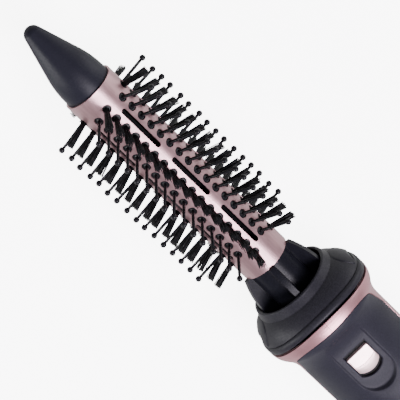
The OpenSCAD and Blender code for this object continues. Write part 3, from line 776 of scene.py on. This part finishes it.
def cut_slot(piece, middle):
    """Cuts the switch's rounded slot straight down through a panel."""
    build = Builder()
    outline = []
    straight_x = SLOT_HALF_LEN - SLOT_CORNER
    straight_y = SLOT_HALF_W - SLOT_CORNER
    reach = 6 * MM
    for quarter in range(4):
        sx = 1 if quarter in (0, 3) else -1
        sy = 1 if quarter in (0, 1) else -1
        for a in between(0, math.pi / 2, 5):
            a = a + quarter * math.pi / 2
            outline.append((middle.x + sx * straight_x + SLOT_CORNER * math.cos(a),
                            sy * straight_y + SLOT_CORNER * math.sin(a)))
    rings = []
    for z in (middle.z - reach, middle.z + reach):
        rings.append([Vector((x, y, z)) for x, y in outline])
    build.loft(rings)
    cutter = build.object("cutter", [MATERIALS["grip_black"]])
    weld(cutter)
    step = piece.modifiers.new("slot", "BOOLEAN")
    step.operation = "DIFFERENCE"
    step.solver = "EXACT"
    step.object = cutter
    bpy.context.view_layer.update()
    evaluated = piece.evaluated_get(bpy.context.evaluated_depsgraph_get())
    cut = bpy.data.meshes.new_from_object(evaluated)
    piece.modifiers.clear()
    piece.data = cut
    bpy.data.objects.remove(cutter)


def grip_panel(name, node, half_panel, flip):
    """A soft-touch panel with rounded edges, made of a half and its mirror image."""
    build = Builder()

    def place(point, side):
        y = point.y * side
        if flip:
            return Vector((point.x, -y, AXIS_Z - point.z))
        return Vector((point.x, y, AXIS_Z + point.z))

    def sheet(rows, side):
        first = len(build.verts)
        wide = len(rows[0])
        for row in rows:
            build.verts.extend(place(point, side) for point in row)
        for i in range(len(rows) - 1):
            for j in range(wide - 1):
                a = first + i * wide + j
                build.faces.append((a, a + 1, a + wide + 1, a + wide))
                build.marks.append(0)

    # inset of the panel's edge, growth of the window, and depth, in mm
    rolls = [(0.45, 0.35, 0.0), (0.22, 0.16, 0.05), (0.07, 0.05, 0.17), (0.0, 0.0, 0.42),
             (0.0, 0.0, GRIP_THICK / MM)]
    made = [half_panel(*(value * MM for value in roll)) for roll in rolls]
    for side in (1, -1):
        for patches, _, _ in (made[0], made[-1]):
            for rows in patches:
                sheet(rows, side)
        sheet([rim for _, rim, _ in made], side)
        if made[0][2]:
            sheet([hole for _, _, hole in made], side)
    piece = build.object(name, [MATERIALS["grip_black"]])
    weld(piece)
    if not flip:
        low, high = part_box("switch_knob")
        cut_slot(piece, (low + high) / 2)
    piece.data.set_sharp_from_angle(angle=math.radians(50))
    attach(piece, "handle")
    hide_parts(node)


# ---------- release slider ----------

def box_piece(build, low, high):
    """A plain block, as a part of a larger piece."""
    rings = []
    for x in (low[0], high[0]):
        rings.append([Vector((x, y, z)) for y, z in ((low[1], low[2]), (high[1], low[2]),
                                                     (high[1], high[2]), (low[1], high[2]))])
    build.loft(rings)


def button():
    """The D-shaped button on its sliding plate: polished, crowned, with a fine curved line."""
    build = Builder()
    edge = 0.28 * MM
    front_gap = 2.15 * MM
    len_mm = 12.15
    round_mm = 7.7
    groove_half = 0.14 * MM
    groove_depth = 0.35 * MM
    start = WINDOW_X + front_gap + edge
    half_w = 6.0 * MM - edge
    round_r = round_mm * MM - edge
    round_x = start - edge + (len_mm - round_mm) * MM
    line_r = 13.6 * MM
    line_x = start + 6.5 * MM - line_r
    across_steps = 24
    columns = []
    for j in range(across_steps + 1):
        y = half_w * (2 * j / across_steps - 1)
        rear = round_x + math.sqrt(round_r ** 2 - y ** 2)
        line = line_x + math.sqrt(line_r ** 2 - y ** 2)
        crown = 0.10 * MM * (1 - (y / half_w) ** 2)
        column = []
        for t in (0, 0.25, 0.5, 0.75, 1):
            x = start + (line - groove_half - start) * t
            column.append(Vector((x, y, BUTTON_TOP + crown)))
        column.append(Vector((line, y, BUTTON_TOP + crown - groove_depth)))
        for t in (0, 0.2, 0.4, 0.6, 0.8, 1):
            x = line + groove_half + (rear - line - groove_half) * t
            drop = 0.05 * MM + 0.55 * MM * t ** 1.6
            column.append(Vector((x, y, BUTTON_TOP + crown - drop)))
        columns.append(column)
    first = len(build.verts)
    count = len(columns[0])
    for column in columns:
        build.verts.extend(column)
    for j in range(across_steps):
        for i in range(count - 1):
            a = first + j * count + i
            build.faces.append((a, a + 1, a + count + 1, a + count))
            build.marks.append(1)
    rim = (columns[0] + [columns[j][-1] for j in range(1, across_steps)] + columns[-1][::-1]
           + [columns[j][0] for j in reversed(range(1, across_steps))])
    rings = [rim]
    for grow, drop in ((0.12, 0.03), (0.22, 0.11), (0.28, 0.30), (0.28, 2.3)):
        ring = []
        for k, point in enumerate(rim):
            step = rim[(k + 1) % len(rim)] - rim[k - 1]
            out = Vector((step.y, -step.x, 0)).normalized()
            ring.append(point + out * (grow * MM) - Vector((0, 0, drop * MM)))
        rings.append(ring)
    build.loft(rings, cap_start=False, mark=1)

    low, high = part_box("release_slider")
    plate_top = AXIS_Z + 19.9 * MM
    plate_low = plate_top - 1.4 * MM
    plate_x = WINDOW_X - 2.6 * MM
    box_piece(build, (plate_x, low.y, plate_low), (high.x, high.y, plate_top))
    # the arm that reaches over the latch's tail and ends in a nose
    half = 2 * MM
    arm_x = low.x + 3.1 * MM
    nose_z = AXIS_Z + 19.9 * MM
    bridge_z = AXIS_Z + 20.6 * MM
    bridge_top = bridge_z + 0.6 * MM
    box_piece(build, (arm_x, -half, plate_low), (plate_x + 0.5 * MM, half, plate_top))
    box_piece(build, (arm_x, -half, plate_low), (arm_x + 1.2 * MM, half, bridge_top))
    box_piece(build, (low.x, -half, bridge_z), (arm_x + 0.5 * MM, half, bridge_top))
    box_piece(build, (low.x, -half, nose_z), (low.x + 0.6 * MM, half, bridge_z + 0.2 * MM))
    piece = build.object("button", [MATERIALS["inner_black"], MATERIALS["rose_gloss"]])
    weld(piece)
    piece.data.set_sharp_from_angle(angle=math.radians(40))
    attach(piece, "release_slider")
    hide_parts("release_slider")


# ---------- floor, light and camera ----------

def pale_sheet(name, verts, faces, material):
    """A piece of the studio that is seen but doesn't show in reflections or light the brush."""
    mesh = bpy.data.meshes.new(name)
    mesh.from_pydata(verts, [], faces)
    mesh.materials.append(material)
    sheet = bpy.data.objects.new(name, mesh)
    bpy.context.scene.collection.objects.link(sheet)
    sheet.visible_glossy = False
    sheet.visible_diffuse = False
    return sheet


def stage():
    """A pale floor, larger than any view needs, and a pale wall all round it."""
    material, tree, shader = new_material("studio_white")
    tint = blend_colours(tree, noise(tree, 3.0), (0.93, 0.93, 0.93), (0.96, 0.96, 0.96))
    tree.links.new(tint, shader.inputs["Base Color"])
    shader.inputs["Roughness"].default_value = 0.9
    shader.inputs["Emission Color"].default_value = (1, 1, 1, 1)
    shader.inputs["Emission Strength"].default_value = 7.0
    size = 6.0
    corners = [(-size, -size, 0), (size, -size, 0), (size, size, 0), (-size, size, 0)]
    pale_sheet("floor", corners, [(0, 1, 2, 3)], material)
    high = [(x, y, size) for x, y, _ in corners]
    sides = [(k, (k + 1) % 4, 4 + (k + 1) % 4, 4 + k) for k in range(4)]
    wall = pale_sheet("wall", corners + high, sides, material)
    wall.visible_shadow = False


def camera():
    """A long lens that looks down on the brush from beyond its tip."""
    tip_on_axis = Vector((TIP_X, 0, AXIS_Z))
    turn = (Matrix.Rotation(math.radians(-5.5), 4, "X")
            @ Matrix.Rotation(math.radians(-22.54), 4, "Y")
            @ Matrix.Rotation(math.radians(43.90), 4, "Z"))
    data = bpy.data.cameras.new("camera")
    data.lens = 210.76
    data.sensor_width = 36
    data.clip_end = 50
    eye = bpy.data.objects.new("camera", data)
    eye.matrix_world = turn
    eye.location = tip_on_axis + turn.to_3x3() @ (Vector((48.07, -48.42, 1002.02)) * MM)
    bpy.context.scene.collection.objects.link(eye)
    bpy.context.scene.camera = eye
    return turn.to_3x3()


def soft_light(name, offset, size, power, tint=(1, 1, 1)):
    """An area light that points at the middle of what the camera sees."""
    target = Vector((TIP_X + 80 * MM, 0, AXIS_Z))
    data = bpy.data.lights.new(name, "AREA")
    data.shape = "RECTANGLE"
    data.size, data.size_y = size
    data.energy = power
    data.color = tint
    lamp = bpy.data.objects.new(name, data)
    lamp.location = target + offset
    lamp.rotation_euler = (target - lamp.location).to_track_quat("-Z", "Y").to_euler()
    bpy.context.scene.collection.objects.link(lamp)


def lighting(look):
    """Soft boxes, and a pale sky with a bright lower half."""
    world = bpy.data.worlds.new("studio")
    world.use_nodes = True
    tree = world.node_tree
    sky = tree.nodes["Background"]
    place = tree.nodes.new("ShaderNodeTexCoord")
    split = tree.nodes.new("ShaderNodeSeparateXYZ")
    level = tree.nodes.new("ShaderNodeMapRange")
    level.inputs["From Min"].default_value = -0.15
    level.inputs["From Max"].default_value = 0.15
    level.inputs["To Min"].default_value = 1.1
    level.inputs["To Max"].default_value = 0.3
    tree.links.new(place.outputs["Generated"], split.inputs["Vector"])
    tree.links.new(split.outputs["Z"], level.inputs["Value"])
    tree.links.new(level.outputs["Result"], sky.inputs["Strength"])
    sky.inputs["Color"].default_value = (1, 1, 1, 1)
    bpy.context.scene.world = world
    soft_light("key", Vector((0.383, 0.08, 0.92)), (0.65, 0.5), 18, (0.97, 0.91, 1.0))
    soft_light("left_side", look @ Vector((-0.8, -0.5, 0.2)), (0.25, 0.9), 9)
    soft_light("right_side", look @ Vector((0.7, 0.6, 0.15)), (0.25, 0.9), 3.5)


dress_cad()
for row in range(ROWS):
    pin_row(row)
for row in range(ROWS):
    tuft_row(row)
collar_band()
finger_tab(1, "left")
finger_tab(-1, "right")
button()
grip_panel("front_panel", "front_grip", front_panel, False)
grip_panel("back_panel", "rear_grip", back_panel, True)
stage()
lighting(camera())
